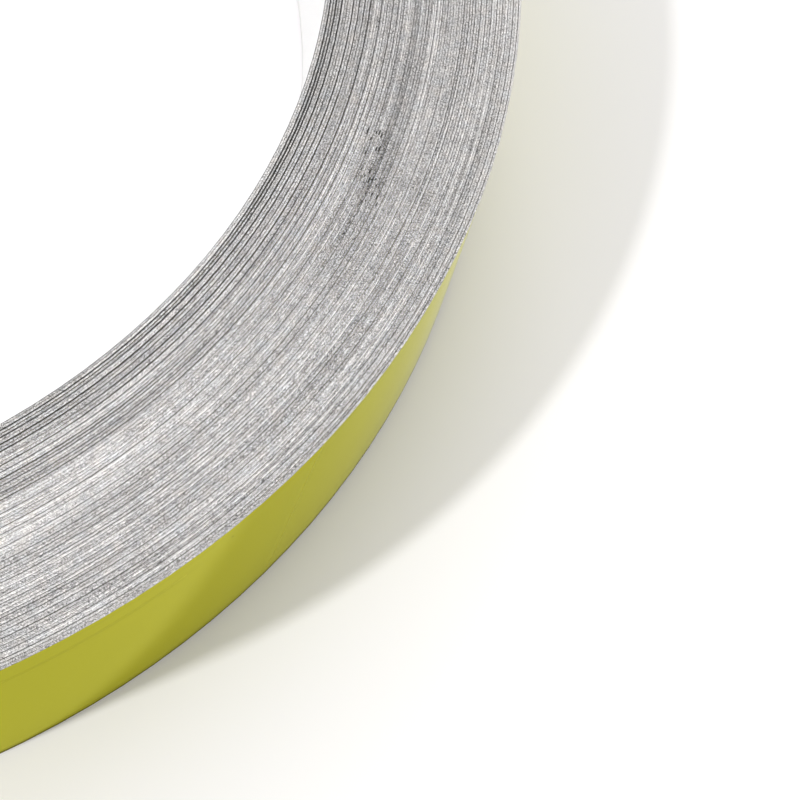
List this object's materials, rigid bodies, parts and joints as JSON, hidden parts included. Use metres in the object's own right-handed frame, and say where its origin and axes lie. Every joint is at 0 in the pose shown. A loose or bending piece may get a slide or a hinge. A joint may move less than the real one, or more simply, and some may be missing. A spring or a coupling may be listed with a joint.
{
  "type": "aluminium channel letter coil",
  "caption": "Flat-wound coil of painted aluminium strip for the sides of channel letters, lying on its end, with a plain round bore that drops over a decoiler.",
  "frame": {"origin": "centre of the bore at the coil's lower end", "axes": "+Z along the coil's axis, upwards; +X towards the side where the outermost lap comes clear of the round body"},
  "size_m": [0.3908, 0.3911, 0.05],
  "materials": {
    "painted_strip": "gloss lime paint on aluminium, slit edges bare"
  },
  "bodies": {
    "root": {"coiled_strip": "painted_strip"}
  },
  "joints": []
}
